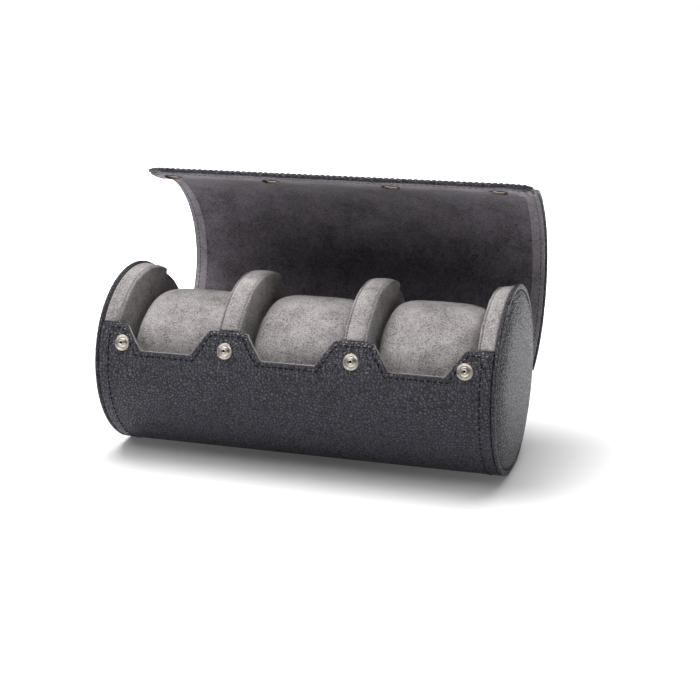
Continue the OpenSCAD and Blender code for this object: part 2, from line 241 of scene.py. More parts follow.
def scallop(panel, grow):
    """Cuts the notches between the tabs, with the whole outline grown a little."""
    rise, length = TAB_TOP - TAB_BASE, math.hypot(TAB_TOP - TAB_BASE, TAB_SLOPE)
    walls = []
    for left, right in NOTCHES:
        for x, way in ((left, 1), (right, -1)):
            n = Vector((way * rise, TAB_SLOPE, 0)) / length
            walls.append((Vector((x, TAB_TOP, 0)) + n * grow, n))
    base = TAB_BASE + grow
    with Bench(panel, "FACE") as bench:
        bench.score((0, base, 0), (0, 1, 0))
        for point, n in walls:
            bench.score(point, n)

        def inside(c, wall):
            return (c - wall[0]).dot(wall[1]) > 0

        bench.pick(lambda c: c.y > base and any(
            inside(c, walls[i]) and inside(c, walls[i + 1]) for i in (0, 2, 4)))
        bpy.ops.mesh.delete(type="FACE")
        bpy.ops.mesh.select_all(action="SELECT")
        bpy.ops.mesh.dissolve_limited(angle_limit=1 * DEG)
    with Bench(panel) as bench:
        bench.pick(lambda c: c.y > base - 1 * MM and abs(c.x) < TUBE_HALF - 1 * MM)
        bpy.ops.mesh.bevel(offset=TAB_ROUND, segments=3, affect="VERTICES")


def rule_rows(panel, v0, v1, step, columns=()):
    """Scores a panel across, so that it can be rolled, and along the given columns."""
    rows = max(2, round((v1 - v0) / step))
    with Bench(panel, "FACE") as bench:
        for i in range(1, rows):
            bench.score((0, v0 + (v1 - v0) * i / rows, 0), (0, 1, 0))
        for x in columns:
            bench.score((x, 0, 0), (1, 0, 0))


def thicken(panel, thickness, rounding):
    """Gives a panel its thickness inward and rounds its edges all round."""
    apply_modifier(panel, "SOLIDIFY", thickness=thickness, offset=-1, use_even_offset=True)
    apply_modifier(panel, "BEVEL", width=rounding, segments=3, limit_method="ANGLE",
                   angle_limit=60 * DEG, use_clamp_overlap=False)
    with Bench(panel):
        bpy.ops.mesh.select_all(action="SELECT")
        bpy.ops.mesh.remove_doubles(threshold=0.01 * MM)


def roll(piece, place):
    """Rolls a flat piece into its round place."""
    co = points_of(piece)
    move_points(piece, np.stack(place(co[:, 0], co[:, 1], co[:, 2]), axis=1))
    smooth_shade(piece)


def on_tube(x, v, n):
    """Where a flat point of the tube's wrap comes to lie; n is how far out of it."""
    a = v / TUBE_R
    r = TUBE_R + n
    z = np.maximum(-np.cos(a) * r, SAG - r)
    return x, -np.sin(a) * r, z + AXIS_Z


def swing(y, z, pivot, angle):
    """Turns points back about a line along X, as the lid opens."""
    c, s = np.cos(angle), np.sin(angle)
    dy, dz = y - pivot[0], z - pivot[1]
    return pivot[0] + dy * c + dz * s, pivot[1] - dy * s + dz * c


def fold_at(phi):
    """How far the leather is bent outward at an angle round the lid.

    It is mostly the bend in front; the arch behind it lies a little flatter, and the very
    edge flares out."""
    t = np.clip((BEND_FROM - phi) / (BEND_FROM - BEND_TO), 0, 1)
    arch = ease((110 * DEG - phi) / (25 * DEG)) * ease((phi - BEND_FROM) / (16 * DEG))
    return FLAP_REST * (0.6 * t + 0.4 * ease(t)) - SETTLE * arch \
        + FLARE * ease((22 * DEG - phi) / (13 * DEG))


def trace_lid():
    """The middle line of the lid's section at rest, from its hinge side to its front."""
    phi = np.linspace(200, 0, 2001) * DEG
    fold = fold_at(phi)
    # the way to the front at each point of the closed lid, turned by the fold
    fy, fz = swing(-np.sin(phi), -np.cos(phi), (0, 0), fold)
    step = CREASE_R * (phi[0] - phi[1])

    def gone(way):
        return np.concatenate([[0], np.cumsum((way[1:] + way[:-1]) / 2)]) * step

    y = -CREASE_R * math.cos(phi[0]) + gone(fy)
    z = CREASE_R * math.sin(phi[0]) + gone(fz)
    y, z = swing(y, z, HINGE, LID_OPEN)
    return phi[::-1], y[::-1], z[::-1] + AXIS_Z


LID_PHI, LID_Y, LID_Z = trace_lid()


def on_lid(x, v, n):
    """Where a flat point of the lid comes to lie in the open lid at rest."""
    phi = v / LID_R
    turn = fold_at(phi) + LID_OPEN
    out = LID_R + n - CREASE_R
    oy, oz = swing(-np.cos(phi) * out, np.sin(phi) * out, (0, 0), turn)
    forward = (75 * DEG - phi) / (60 * DEG)
    lean = LEAN * ease(forward)
    sink = TWIST * x * np.clip(forward, 0, 1)
    return (x + lean, np.interp(phi, LID_PHI, LID_Y) + oy,
            np.interp(phi, LID_PHI, LID_Z) + oz - sink)


def draw_line(name, points):
    """A chain of edges, drawn by pulling one point along."""
    points = [Vector(p) for p in points]
    line = lay_down(name, bpy.ops.mesh.primitive_plane_add, size=1 * MM, location=points[0])
    with Bench(line):
        bpy.ops.mesh.select_all(action="SELECT")
        bpy.ops.mesh.merge(type="CENTER")
        for a, b in zip(points, points[1:]):
            bpy.ops.mesh.extrude_vertices_move(TRANSFORM_OT_translate={"value": b - a})
    return settle(line)


def spin_round(line, steps, axis):
    """Spins a drawn line all round and closes it."""
    with Bench(line):
        bpy.ops.mesh.select_all(action="SELECT")
        bpy.ops.mesh.spin(steps=steps, angle=2 * math.pi, center=(0, 0, 0), axis=axis)
        bpy.ops.mesh.select_all(action="SELECT")
        bpy.ops.mesh.remove_doubles(threshold=0.005 * MM)
        bpy.ops.mesh.normals_make_consistent(inside=False)
    return line


def joined(name, parts):
    """Several meshes as one piece."""
    take(parts[0])
    for part in parts:
        part.select_set(True)
    if len(parts) > 1:
        bpy.ops.object.join()
    piece = bpy.context.active_object
    piece.name = piece.data.name = name
    return piece


def copy_of(piece, name):
    """A copy with a mesh of its own."""
    other = piece.copy()
    other.data = piece.data.copy()
    other.name = other.data.name = name
    bpy.context.collection.objects.link(other)
    return other


# ---------------------------------------------------------------- finishes

class Wire:
    """A number, colour or direction in a finish; arithmetic on it adds Math nodes."""

    def __init__(self, finish, socket):
        self.finish, self.socket = finish, socket

    def _math(self, operation, a, b):
        return self.finish.node("ShaderNodeMath", {"operation": operation}, {0: a, 1: b})

    def __add__(self, other):
        return self._math("ADD", self, other)

    def __sub__(self, other):
        return self._math("SUBTRACT", self, other)

    def __rsub__(self, other):
        return self._math("SUBTRACT", other, self)

    def __mul__(self, other):
        return self._math("MULTIPLY", self, other)

    __radd__, __rmul__ = __add__, __mul__

    def step(self, low, high):
        """0 below low, 1 above high and smooth between."""
        return self.finish.node("ShaderNodeMapRange", {"interpolation_type": "SMOOTHSTEP"},
                                {0: self, 1: low, 2: high, 3: 0.0, 4: 1.0})


class Finish:
    """A material, made of nodes around its shader."""

    def __init__(self, name, **constants):
        self.material = bpy.data.materials.new(name)
        self.material.use_nodes = True
        self.tree = self.material.node_tree
        self.shader = self.tree.nodes["Principled BSDF"]
        for socket, value in constants.items():
            self.shader.inputs[socket.replace("_", " ")].default_value = value
        self.place = self.node("ShaderNodeTexCoord", out="Object")

    def node(self, kind, settings=None, values=None, out=0):
        """Adds a node with its settings, wires or numbers at its inputs; gives one output."""
        node = self.tree.nodes.new(kind)
        for name, value in (settings or {}).items():
            setattr(node, name, value)
        for socket, value in (values or {}).items():
            if isinstance(value, Wire):
                self.tree.links.new(value.socket, node.inputs[socket])
            else:
                node.inputs[socket].default_value = value
        return Wire(self, node.outputs[out])

    def cloud(self, cell, detail=2.0, rough=0.5, where=None):
        """Soft noise, with features about one cell in size."""
        return self.node("ShaderNodeTexNoise", {}, {
            "Vector": where or self.place, "Scale": 1 / cell, "Detail": detail,
            "Roughness": rough})

    def mix(self, share, a, b):
        """One colour at a share of 0, another at 1."""
        return self.node("ShaderNodeMix", {"data_type": "RGBA"}, {0: share, 6: a, 7: b}, out=2)

    def shift(self, amount, cell):
        """The place, pushed about a little so that patterns aren't regular."""
        push = self.node("ShaderNodeTexNoise", {}, {
            "Vector": self.place, "Scale": 1 / cell, "Detail": 1.0}, out="Color")
        centred = self.node("ShaderNodeVectorMath", {"operation": "SUBTRACT"},
                            {0: push, 1: (0.5, 0.5, 0.5)})
        sized = self.node("ShaderNodeVectorMath", {"operation": "SCALE"},
                          {0: centred, "Scale": amount})
        return self.node("ShaderNodeVectorMath", {"operation": "ADD"}, {0: self.place, 1: sized})

    def relief(self, height, depth, strength=1.0):
        """Fine relief, depth metres deep where the height goes from 0 to 1."""
        bump = self.node("ShaderNodeBump", {}, {"Height": height, "Distance": depth,
                                                "Strength": strength})
        self.feed("Normal", bump)

    def feed(self, socket, wire):
        self.tree.links.new(wire.socket, self.shader.inputs[socket])


def grained_leather(name, crease, crown, cell=1.55 * MM, depth=0.42 * MM, rough=0.32):
    """Hide with a pebbled grain: rounded cells between fine creases, coloured darker partly in the
    grain's own tone and partly as painted shade.
    """
    hide = Finish(name, Specular_IOR_Level=0.5)
    where = hide.shift(1.3 * MM, 2.6 * MM)
    cells = hide.node("ShaderNodeTexVoronoi", {"feature": "DISTANCE_TO_EDGE"},
                      {"Vector": where, "Scale": 1 / cell, "Randomness": 0.85})
    pebble = cells.step(0.0, 0.20)
    pores = hide.cloud(0.3 * MM, 2)
    broad = hide.cloud(16 * MM, 3)
    tone = pebble * 0.95 + (pores - 0.5) * 0.4 + (broad - 0.5) * 0.3 - 0.03
    # the creases take the darker colour: partly the grain's own tone, partly painted shade in the
    # creases
    hide.feed("Base Color", hide.mix(tone, crease, crown))
    hide.feed("Roughness", (1 - pebble) * 0.3 + (pores - 0.5) * 0.3 + rough)
    hide.relief(cells.step(-0.12, 0.48) + pebble * 0.25 + pores * 0.1, depth)
    return hide.material


def brushed_velour(name, deep, pale, speck=0.5):
    """Short-napped cloth: cloudy where the nap is pressed, and speckled close to."""
    cloth = Finish(name, Roughness=0.95, Specular_IOR_Level=0.12, Sheen_Weight=0.2,
                   Sheen_Roughness=0.45)
    stroked = cloth.cloud(15 * MM, 3, 0.55, cloth.shift(6 * MM, 14 * MM))
    patches = cloth.cloud(3.4 * MM, 3, 0.6)
    fibres = cloth.cloud(0.55 * MM, 1, 0.6)
    pits = cloth.cloud(0.8 * MM, 0, 0.5)
    nap = (stroked - 0.5) * 1.1 + (patches - 0.5) * 0.6 + (fibres - 0.5) * speck * 2.8 \
        + pits.step(0.33, 0.48) * speck * 0.55 + (0.55 - speck * 0.42)
    cloth.feed("Base Color", cloth.mix(nap, deep, pale))
    cloth.relief(fibres * 0.7 + patches * 0.5 + pits.step(0.36, 0.46) * 0.5, 0.22 * MM, 0.8)
    return cloth.material


def plain_finish(name, colour, rough, **constants):
    """A plain finish with slight wear in its shade and its gloss."""
    plain = Finish(name, **constants)
    wear = plain.cloud(1.8 * MM, 4, 0.65)
    darker = tuple(c * 0.72 for c in colour[:3]) + (1.0,)
    plain.feed("Base Color", plain.mix(wear.step(0.3, 0.7), darker, colour))
    plain.feed("Roughness", wear * 0.16 + (rough - 0.08))
    plain.relief(wear, 0.02 * MM, 0.5)
    return plain.material


# the first colour of each hide is its creases, darkened partly as painted shade
hide = grained_leather("pebbled_hide", (0.003, 0.003, 0.0045, 1), (0.067, 0.064, 0.094, 1))
bead_hide = grained_leather("bead_hide", (0.008, 0.009, 0.010, 1), (0.026, 0.030, 0.034, 1))
velour = brushed_velour("grey_velour", (0.12, 0.108, 0.108, 1), (0.56, 0.525, 0.52, 1))
# the lid's velour is darker than the cushions', partly in its own colour and partly as painted
# shade inside the lid; its border is a paler copy, painted light
shaded_lid_velour = brushed_velour("shaded_lid_velour", (0.065, 0.056, 0.067, 1), (0.31, 0.282, 0.318, 1))
lit_border_velour = brushed_velour("lid_border_velour", (0.17, 0.155, 0.172, 1),
                               (0.47, 0.43, 0.47, 1))
edge_velour = brushed_velour("cut_velour_edge", (0.26, 0.24, 0.23, 1),
                             (0.50, 0.47, 0.45, 1), speck=0.2)
thread = plain_finish("black_thread", (0.004, 0.004, 0.005, 1), 0.7, Specular_IOR_Level=0.2)
grey_thread = plain_finish("grey_thread", (0.22, 0.21, 0.21, 1), 0.7, Specular_IOR_Level=0.2)
seam_thread = plain_finish("seam_thread", (0.15, 0.135, 0.13, 1), 0.8, Specular_IOR_Level=0.2)
nickel = plain_finish("warm_nickel", (0.80, 0.74, 0.66, 1), 0.38, Metallic=1.0)
dark_metal = plain_finish("darkened_metal", (0.10, 0.07, 0.058, 1), 0.30, Metallic=1.0)
plate_paint = plain_finish("charcoal_enamel", (0.022, 0.024, 0.028, 1), 0.36, Coat_Weight=0.3)
board = plain_finish("greyboard", (0.10, 0.09, 0.085, 1), 0.85)


def dress(piece, finish, slot, body, *nodes):
    """Gives a finished piece its finish, and says what it rides on and stands for."""
    piece.data.materials.clear()
    piece.data.materials.append(finish)
    if body:
        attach(piece, body)
    if nodes:
        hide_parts(*nodes)
    return piece


# ---------------------------------------------------------------- thread

def make_stitch():
    """One stitch, a small grain of thread of unit size that lies along X."""
    stitch = lay_down("stitch", bpy.ops.mesh.primitive_uv_sphere_add, segments=8, ring_count=5,
                      radius=1)
    stitch.rotation_euler = (0, math.pi / 2, 0)
    settle(stitch)
    bpy.ops.object.shade_smooth()
    return stitch


stitch = make_stitch()


def sew(name, rows, place, pitch=2.9 * MM, size=(1.08, 0.34, 0.27), lift=0.04 * MM):
    """Lays stitches along rows of flat points, each one on the piece where place puts it."""
    base = points_of(stitch) * np.array(size) * MM
    faces = [tuple(p.vertices) for p in stitch.data.polygons]
    verts, polys = [], []
    for row in rows:
        row = np.array(row, float)
        steps = np.hypot(*np.diff(row, axis=0).T)
        ends = np.concatenate([[0], np.cumsum(steps)])
        count = max(1, round(ends[-1] / pitch))
        for i in range(count):
            at = []
            for share in (i + 0.15, i + 0.5, i + 0.85):
                s = share / count * ends[-1]
                at.append([np.interp(s, ends, row[:, 0]), np.interp(s, ends, row[:, 1])])
            at = np.array(at)
            line = np.stack(place(at[:, 0], at[:, 1], np.full(3, lift)), axis=1)
            raised = np.stack(place(at[1:2, 0], at[1:2, 1], np.full(1, lift + 1 * MM)), axis=1)[0]
            along = line[2] - line[0]
            along /= np.linalg.norm(along)
            out = raised - line[1]
            out -= along * out.dot(along)
            out /= np.linalg.norm(out)
            turn = np.stack([along, np.cross(out, along), out])
            start = len(verts)
            laid = base @ turn + line[1]
            laid[:, 2] = np.maximum(laid[:, 2], 0.02 * MM)
            verts.extend(laid.tolist())
            polys.extend(tuple(start + k for k in face) for face in faces)
    mesh = bpy.data.meshes.new(name)
    mesh.from_pydata(verts, [], polys)
    mesh.update()
    mesh.shade_smooth()
    piece = bpy.data.objects.new(name, mesh)
    bpy.context.collection.objects.link(piece)
    return piece


def scallop_row(inset):
    """The line of stitches that follows the tabs, an inset inside their outline."""
    rise, length = TAB_TOP - TAB_BASE, math.hypot(TAB_TOP - TAB_BASE, TAB_SLOPE)
    lean = TAB_SLOPE / rise
    top, base = TAB_TOP - inset, TAB_BASE - inset
    across = inset * length / rise                  # a sloping side moves in by this much in X
    end = TUBE_HALF - END_SEAM
    row = [(-end, top)]
    for left, right in NOTCHES:
        row += [(left - across + inset * lean, top),
                (left + TAB_SLOPE - across + inset * lean, base),
                (right - TAB_SLOPE + across - inset * lean, base),
                (right + across - inset * lean, top)]
    return row + [(end, top)]


# ---------------------------------------------------------------- the tube

def make_tube():
    """The wrap of hide with its tabs, its lining and its seams."""
    outer = cut_panel("tube_leather_wrap", -TUBE_HALF, TUBE_HALF, BACK_EDGE - OVERLAP,
                      TAB_TOP + OVERLAP)
    scallop(outer, OVERLAP)
    rule_rows(outer, BACK_EDGE, TAB_TOP, ROW_STEP, SCORE_COLUMNS)
    thicken(outer, WALL, HIDE_ROUND)
    roll(outer, on_tube)
    dress(outer, hide, "leather", "case", "shell_leather")

    inner = cut_panel("tube_velour_lining", -TUBE_HALF + OVERLAP, TUBE_HALF - OVERLAP,
                      BACK_EDGE - LINING_OVERLAP, TAB_TOP + LINING_OVERLAP)
    scallop(inner, LINING_OVERLAP)
    rule_rows(inner, BACK_EDGE, TAB_TOP, ROW_STEP, SCORE_COLUMNS)
    thicken(inner, LINING_T, LINING_ROUND)
    roll(inner, lambda x, v, n: on_tube(x, v, n - WALL))
    dress(inner, edge_velour, "lining", "case", "shell_lining")

    rows = [scallop_row(TAB_SEAM)]
    for side in (-1, 1):
        x = side * (TUBE_HALF - END_SEAM)
        rows.append([(x, TAB_TOP - 4.8 * MM), (x, BACK_EDGE + 2 * MM)])
    seams = sew("tube_stitching", rows, on_tube)
    dress(seams, thread, "leather", "case")


def settled(co):
    """The left end stands a little lower than the right one."""
    co[:, 2] -= LEFT_SETTLE * np.clip((co[:, 2] - AXIS_Z) / TUBE_R, 0, 1) ** 2
    return co


def make_end(side, name):
    """An end cap: a rounded leather rim, a stitched ring and a softly domed face."""
    gap, face = CAP_GAP, CAP_T
    profile = [(gap, 0), (gap, 30), (gap, 43.9), (gap + 0.1 * MM, 44.55), (gap + 0.45 * MM, 44.9),
               (gap + 0.9 * MM, 45), (face - 0.65 * MM, 44.95), (face - 0.25 * MM, 44.7),
               (face - 0.03 * MM, 44.2), (face, 43.5), (face - 0.06 * MM, 42.7),
               (face - 0.34 * MM, 42.15), (face - 0.38 * MM, 41.8), (face - 0.18 * MM, 41.2),
               (face + 0.34 * MM, 40.0), (face + 0.98 * MM, 38.2), (face + 1.56 * MM, 35.9),
               (face + 1.98 * MM, 32.8), (face + 2.24 * MM, 28), (face + 2.38 * MM, 20),
               (face + 2.46 * MM, 10), (face + 2.48 * MM, 0)]
    points = [(side * (TUBE_HALF + x), 0, r * MM) for x, r in profile]
    cap = spin_round(draw_line(name, points), 256, (1, 0, 0))
    co = points_of(cap)
    co[:, 2] = np.maximum(co[:, 2], SAG - TUBE_R) + AXIS_Z
    if side < 0:
        co = settled(co)
    move_points(cap, co)
    smooth_shade(cap)
    dress(cap, hide, "leather", "case", "end_left_leather" if side < 0 else "end_right_leather")

    def on_face(x, v, n):
        r = CAP_SEAM_R
        z = np.maximum(-np.cos(v / r) * r, SAG + 3 * MM - TUBE_R) + AXIS_Z
        return side * (TUBE_HALF + face - 0.3 * MM + n) + 0 * x, -np.sin(v / r) * r, z

    ring = sew(name + "_stitching", [[(0, 0), (0, 2 * math.pi * CAP_SEAM_R)]], on_face)
    dress(ring, thread, "leather", "case")


# ---------------------------------------------------------------- padded dividers and end pads

def padded_profile(half, left_open, right_open):
    """Across a padded disc, in mm: a crowned band, a sewn groove, a rolled edge and a soft face."""
    r = PAD_R / MM

    def shoulder(sign, is_open):
        if not is_open:
            side = [(half, 0), (half, 30), (half, r - 2), (half - 0.05, r - 0.8),
                    (half - 0.35, r - 0.25), (half - 1.2, r - 0.05), (half - 2.4, r)]
        else:
            side = [(half + 0.2, 0), (half + 0.2, 12), (half + 0.2, 24), (half + 0.12, 32),
                    (half, 36.5), (half - 0.05, r - 3.4), (half + 0.04, r - 2.4),
                    (half + 0.06, r - 1.7), (half - 0.06, r - 1.15), (half - 0.36, r - 0.72),
                    (half - 0.62, r - 0.56), (half - 0.82, r - 0.68),
                    (half - SEAM_IN + 0.12, r - 0.98), (half - SEAM_IN - 0.12, r - 0.98),
                    (half - SEAM_IN - 0.5, r - 0.5), (half - SEAM_IN - 1.1, r - 0.2)]
        return [(sign * px, pr) for px, pr in side]

    return shoulder(-1, left_open) + [(0, r)] + shoulder(1, right_open)[::-1]


def band_height(phi):
    """Radius of the padding's band at angles in degrees: it swells above the tabs' edge."""
    front = ease((phi - PAD_FRONT) / 1.2) * (1 - ease((phi - TUCK / DEG) / 0.5))
    return BORE_R - 0.08 * MM + (PAD_R - BORE_R) * front


def behind_tuck(phi):
    """1 where a band runs on behind its tuck, down to the back of the tube."""
    return ease((phi - TUCK / DEG) / 0.5) * (1 - ease((phi - 180) / 4))


def swell(co, x, half, left_open, right_open):
    """The padding's form, from a plain round disc: bulges, tuck, gathers and soft faces."""
    y, z = co[:, 1], co[:, 2]
    r = np.hypot(y, z)
    phi = np.degrees(np.arctan2(z, -y)) % 360             # from the front, over the top
    off = phi - TUCK / DEG
    phi = TUCK / DEG + off * (1 - 0.75 * np.exp(-(off / 6) ** 2))   # finer steps at the tuck
    off = phi - TUCK / DEG
    near = ease((r - 24 * MM) / (14 * MM))
    r = r * (1 + (band_height(phi) / PAD_R - 1) * near)
    # the padding bulges against the rim of an end cap
    for side, is_open in ((-1, left_open), (1, right_open)):
        if not is_open:
            bulge = ease((side * co[:, 0] / MM - half + 3.4) / 2.8)
            r += 0.75 * MM * bulge * near * ease((phi - PAD_FRONT) / 1.2) \
                * (1 - ease((phi - 176) / 6))
    # the tuck is a cut right through the band, and the cloth behind it is gathered
    r -= 6.8 * MM * ease((0.95 - np.abs(off)) / 0.4) * ease((r - 34 * MM) / (6.5 * MM))
    behind = behind_tuck(phi)
    gathers = behind * np.exp(-off / 5)
    r -= (0.9 * gathers * np.abs(np.sin(off * 1.35 + co[:, 0] * 900)) + 0.5 * behind) \
        * MM * near
    slim = (0.9 + 0.7 * gathers * np.abs(np.sin(off * 1.35))) * MM * behind * near
    if not left_open:
        open_side = co[:, 0] > 0
    elif not right_open:
        open_side = co[:, 0] < 0
    else:
        open_side = np.full(len(co), True)
    co[:, 0] -= np.sign(co[:, 0]) * slim * open_side * np.clip(np.abs(co[:, 0]) / half / MM, 0, 1)
    soft = 0.12 * MM * np.sin(phi * 0.21 + x * 90) + 0.07 * MM * np.sin(phi * 0.53 + x * 55)
    co[:, 0] += soft * near * np.clip(np.abs(co[:, 0]) / half / MM, 0, 1) * open_side
    co[:, 1] = -r * np.cos(np.radians(phi))
    co[:, 2] = np.maximum(r * np.sin(np.radians(phi)), SAG + 0.08 * MM - BORE_R) + AXIS_Z
    co[:, 0] += x
    return co


def make_padded(name, x, width, left_open, right_open, cloth_nodes):
    """A padded disc in velour; a face that lies against an end cap isn't open."""
    half = width / 2 / MM
    profile = padded_profile(half, left_open, right_open)
    line = draw_line(name, [(px * MM, 0, pr * MM) for px, pr in profile])
    pad = spin_round(line, 720, (1, 0, 0))
    co = swell(points_of(pad), x, half, left_open, right_open)
    if not left_open:
        co = settled(co)
    move_points(pad, co)
    smooth_shade(pad, 60)
    dress(pad, velour, "velour", "case", *cloth_nodes)

    def in_groove(across, v, n):
        phi = v / BORE_R / DEG
        r = band_height(phi) + n - (0.82 + 0.9 * behind_tuck(phi)) * MM
        return (x + across * (1 - 0.25 * behind_tuck(phi)), -r * np.cos(np.radians(phi)),
                r * np.sin(np.radians(phi)) + AXIS_Z)

    rows = []
    for side, is_open in ((-1, left_open), (1, right_open)):
        if is_open:
            across = side * (half - SEAM_IN) * MM
            rows += [[(across, a * DEG * BORE_R), (across, b * DEG * BORE_R)]
                     for a, b in ((31.5, TUCK / DEG - 1.5), (TUCK / DEG + 2, 182))]
    seams = sew(name + "_seams", rows, in_groove, pitch=1.5 * MM, size=(0.5, 0.17, 0.14))
    dress(seams, seam_thread, "velour", "case")


# ---------------------------------------------------------------- cushions

def make_cushion_form():
    """The form that all the cushions share: a barrel whose cover is filled with foam."""
    steps = 16
    profile = [(-CUSHION_W / 2, 0)]
    for i in range(steps + 1):
        t = -1 + 2 * i / steps
        t = math.copysign(abs(t) ** 0.7, t)
        px = t * (CUSHION_W / 2 - 0.6 * MM)
        r = CUSHION_END_R + (CUSHION_R - CUSHION_END_R) * (1 - abs(t) ** 4) ** 0.5
        profile.append((px, r - 0.7 * MM))
    profile.append((CUSHION_W / 2, 0))
    form = spin_round(draw_line("cushion_form", [(px, 0, r) for px, r in profile]), 128, (1, 0, 0))
    plump(form, 2.6 * MM, 4.0, 1.0 * MM)
    apply_modifier(form, "SUBSURF", levels=1, render_levels=1)
    co = points_of(form)
    r = np.hypot(co[:, 1], co[:, 2])
    phi = np.arctan2(co[:, 2], co[:, 1])
    room = CUSHION_END_R + (CUSHION_R - CUSHION_END_R) * np.sqrt(
        np.clip(1 - np.abs(co[:, 0] / (CUSHION_W / 2)) ** 4, 0, 1))
    new = np.minimum(r, room - 0.15 * MM)
    new += 0.12 * MM * np.sin(phi * 3 + co[:, 0] * 70) * np.clip(r / CUSHION_R, 0, 1)
    share = np.where(r > 1e-6, new / np.maximum(r, 1e-6), 1)
    co[:, 1] *= share
    co[:, 2] *= share
    co[:, 0] = np.clip(co[:, 0], -CUSHION_W / 2, CUSHION_W / 2)
    move_points(form, co)
    return form


def make_cushion(body, x, press, form):
    """A cushion's cover at its place; the press, in mm, is how far its top has settled."""
    cushion = copy_of(form, body)
    co = points_of(cushion)
    turn = CUSHION_TURN * (x / MM)
    c, s = math.cos(turn), math.sin(turn)
    y, z = co[:, 1] * c - co[:, 2] * s, co[:, 1] * s + co[:, 2] * c
    z = z - press * MM * (np.clip(z, 0, None) / CUSHION_R) ** 2
    co[:, 0] += x
    co[:, 1], co[:, 2] = y, z + CUSHION_Z
    move_points(cushion, co)
    smooth_shade(cushion, 50)
    dress(cushion, velour, "velour", body, body + "_sleeve", body + "_sides", body + "_core")
    cushion.name = cushion.data.name = body + "_cover"


def plump(piece, voxel, pressure, most):
    """Swells a closed form as stuffed cloth does; no point moves further than most."""
    take(piece)
    piece.data.remesh_voxel_size = voxel
    bpy.ops.object.voxel_remesh()
    before = points_of(piece)
    cloth = piece.modifiers.new("Cloth", "CLOTH")
    cloth.settings.use_pressure = True
    cloth.settings.uniform_pressure_force = pressure
    cloth.settings.effector_weights.gravity = 0
    cloth.settings.bending_stiffness = 2.0
    cloth.settings.quality = 5
    scene = bpy.context.scene
    for step in range(1, 21):
        scene.frame_set(step)
    take(piece)
    bpy.ops.object.modifier_apply(modifier=cloth.name)
    scene.frame_set(1)
    moved = points_of(piece) - before
    length = np.linalg.norm(moved, axis=1, keepdims=True)
    move_points(piece, before + moved * np.minimum(1, most / np.maximum(length, 1e-9)))


# ---------------------------------------------------------------- the lid

def at_border(x, v, n):
    """The lid thins to its edge, and its lining stands up over the hide turned in there."""
    room = np.minimum(LID_HALF - np.abs(x), v - LID_FRONT)
    hem = LID_HALF - np.abs(x)
    on_lining = n < LINING_BELOW
    n = n - HEM_RISE * (1 - ease((hem - HEM_FROM) / HEM_STEP)) * on_lining
    return on_lid(x, v, n * (1 - LID_THINS * (1 - ease(room / LID_THINS_OVER))))


def clip_corners(panel, inset):
    """Cuts both front corners off a panel of the lid, and rounds what is left."""
    for side in (-1, 1):
        out = Vector((side * LID_CORNER_V, -LID_CORNER_X, 0)).normalized()
        point = Vector((side * (LID_HALF - LID_CORNER_X), LID_FRONT, 0)) - out * inset
        with Bench(panel, "FACE") as bench:
            bench.score(point, out, clear_outer=True)
    with Bench(panel) as bench:
        bench.pick(lambda c: c.y < LID_FRONT + 9 * MM)
        bpy.ops.mesh.bevel(offset=LID_CORNER_ROUND, segments=3, affect="VERTICES")


def socket_drill():
    """Four plugs, to cut the holes that the sockets sit in."""
    plugs = []
    for x in STUD_XS:
        out, middle = socket_place(x)
        plug = lay_down("plug", bpy.ops.mesh.primitive_cylinder_add, vertices=32,
                        radius=SOCKET_HOLE_R, depth=SOCKET_HOLE_DEPTH)
        plug.location = middle + out * SOCKET_HOLE_AT
        plug.rotation_euler = Vector(out).to_track_quat("Z", "Y").to_euler()
        plugs.append(settle(plug))
    return joined("socket_drill", plugs)


